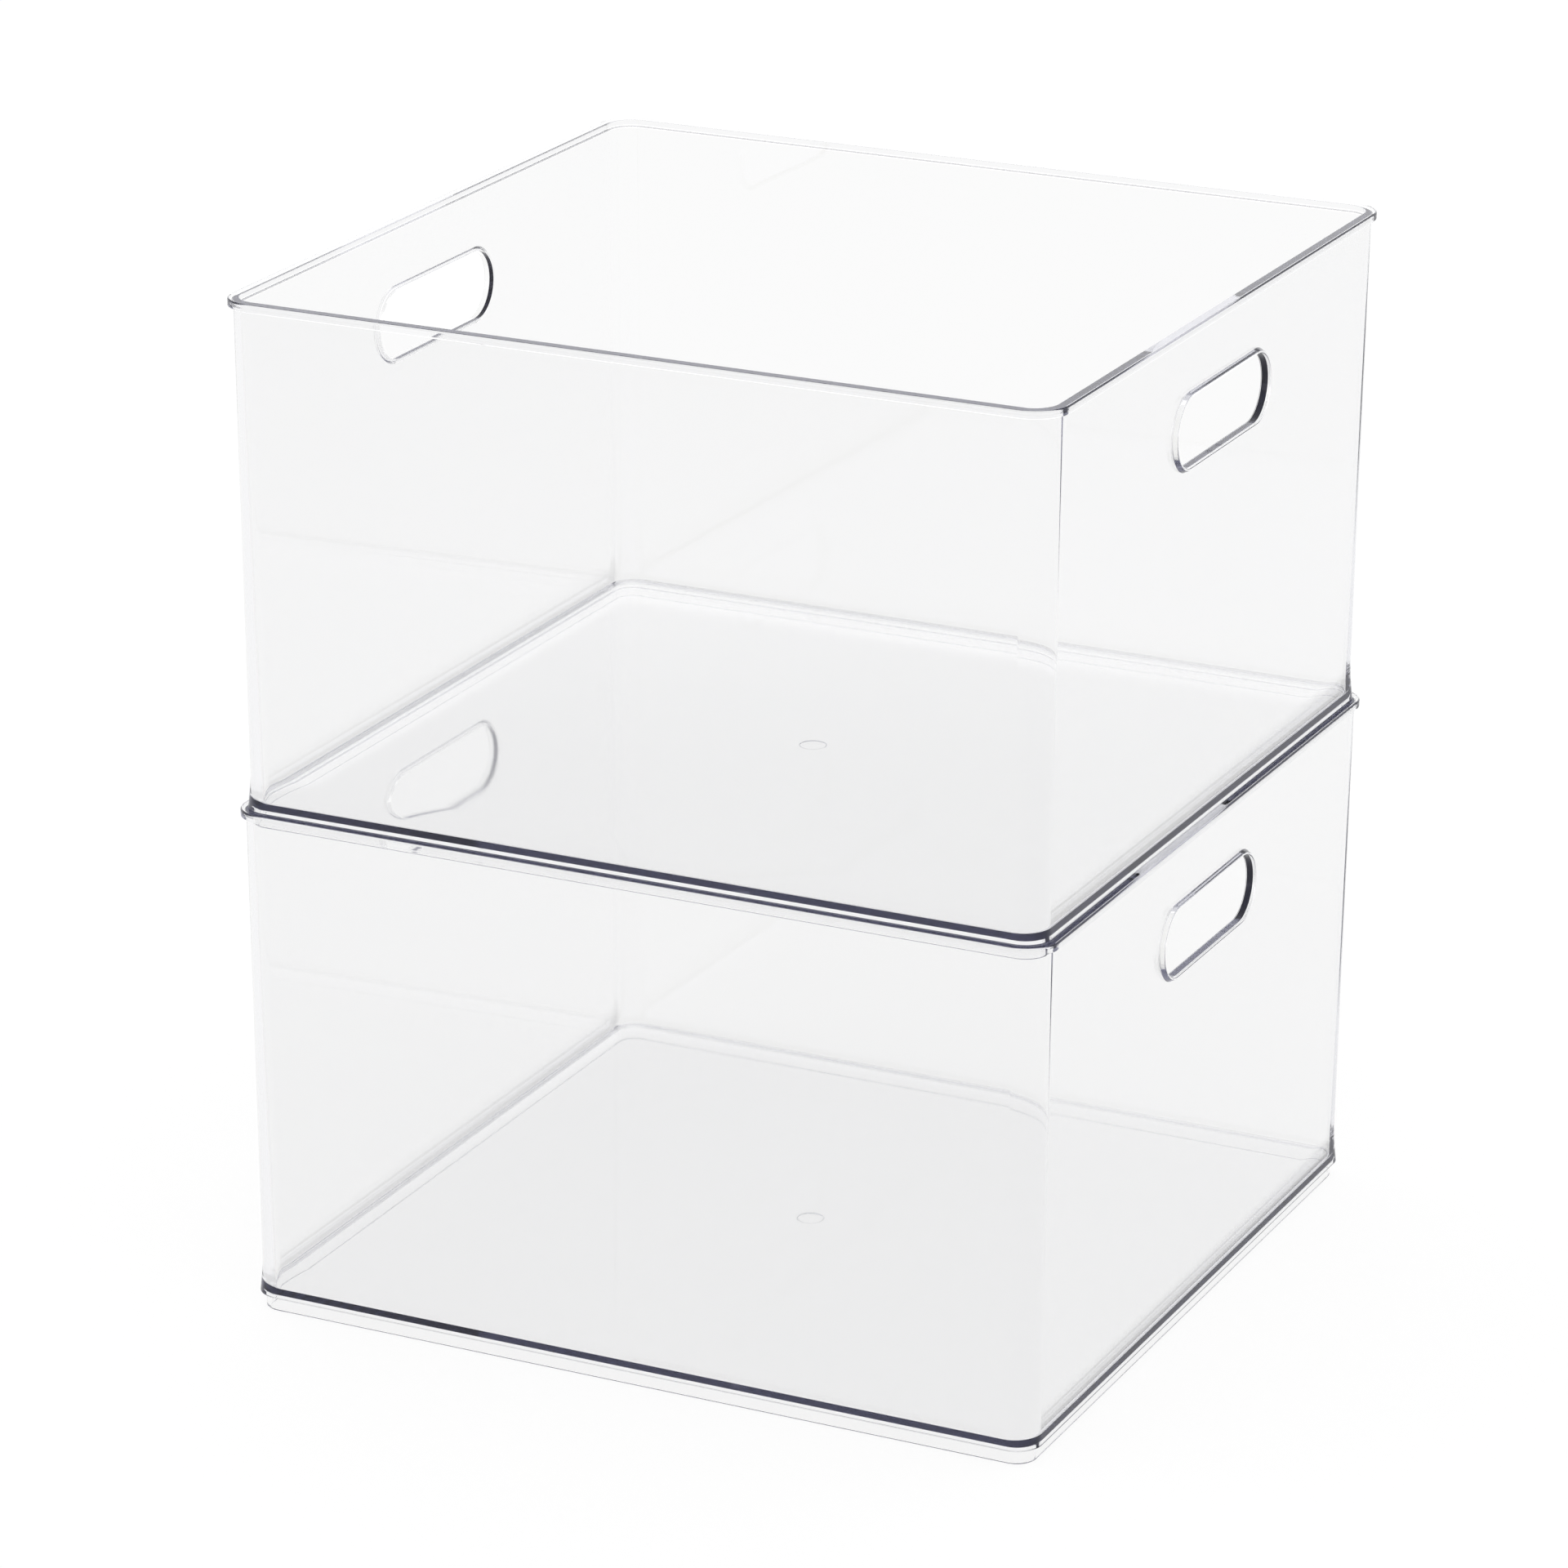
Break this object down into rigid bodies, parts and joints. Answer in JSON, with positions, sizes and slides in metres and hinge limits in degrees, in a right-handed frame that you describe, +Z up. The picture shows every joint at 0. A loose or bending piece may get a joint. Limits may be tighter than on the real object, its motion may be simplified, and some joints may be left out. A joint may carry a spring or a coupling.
{
  "type": "fridge bin",
  "caption": "Clear square storage bin with a flanged rim, a stacking foot and grip slots in its ends, stacked on a matching bin.",
  "frame": {"origin": "middle of the lower bin's footprint, on the surface it stands on", "axes": "+Z up, +X towards one of the two end walls that have the grip slots, +Y towards one plain wall"},
  "size_m": [0.32, 0.308, 0.3848],
  "materials": {
    "clear_plastic": "clear glossy injection-moulded plastic, very faint cool tint, polished faces"
  },
  "bodies": {
    "lower_body": {"lower_bin": "clear_plastic"},
    "upper_body": {"upper_bin": "clear_plastic"}
  },
  "joints": [
    {"name": "upper_lift", "type": "slide", "parent": "lower_body", "child": "upper_body", "axis": [0, 0, 1], "range_m": [0, 0.2]}
  ]
}
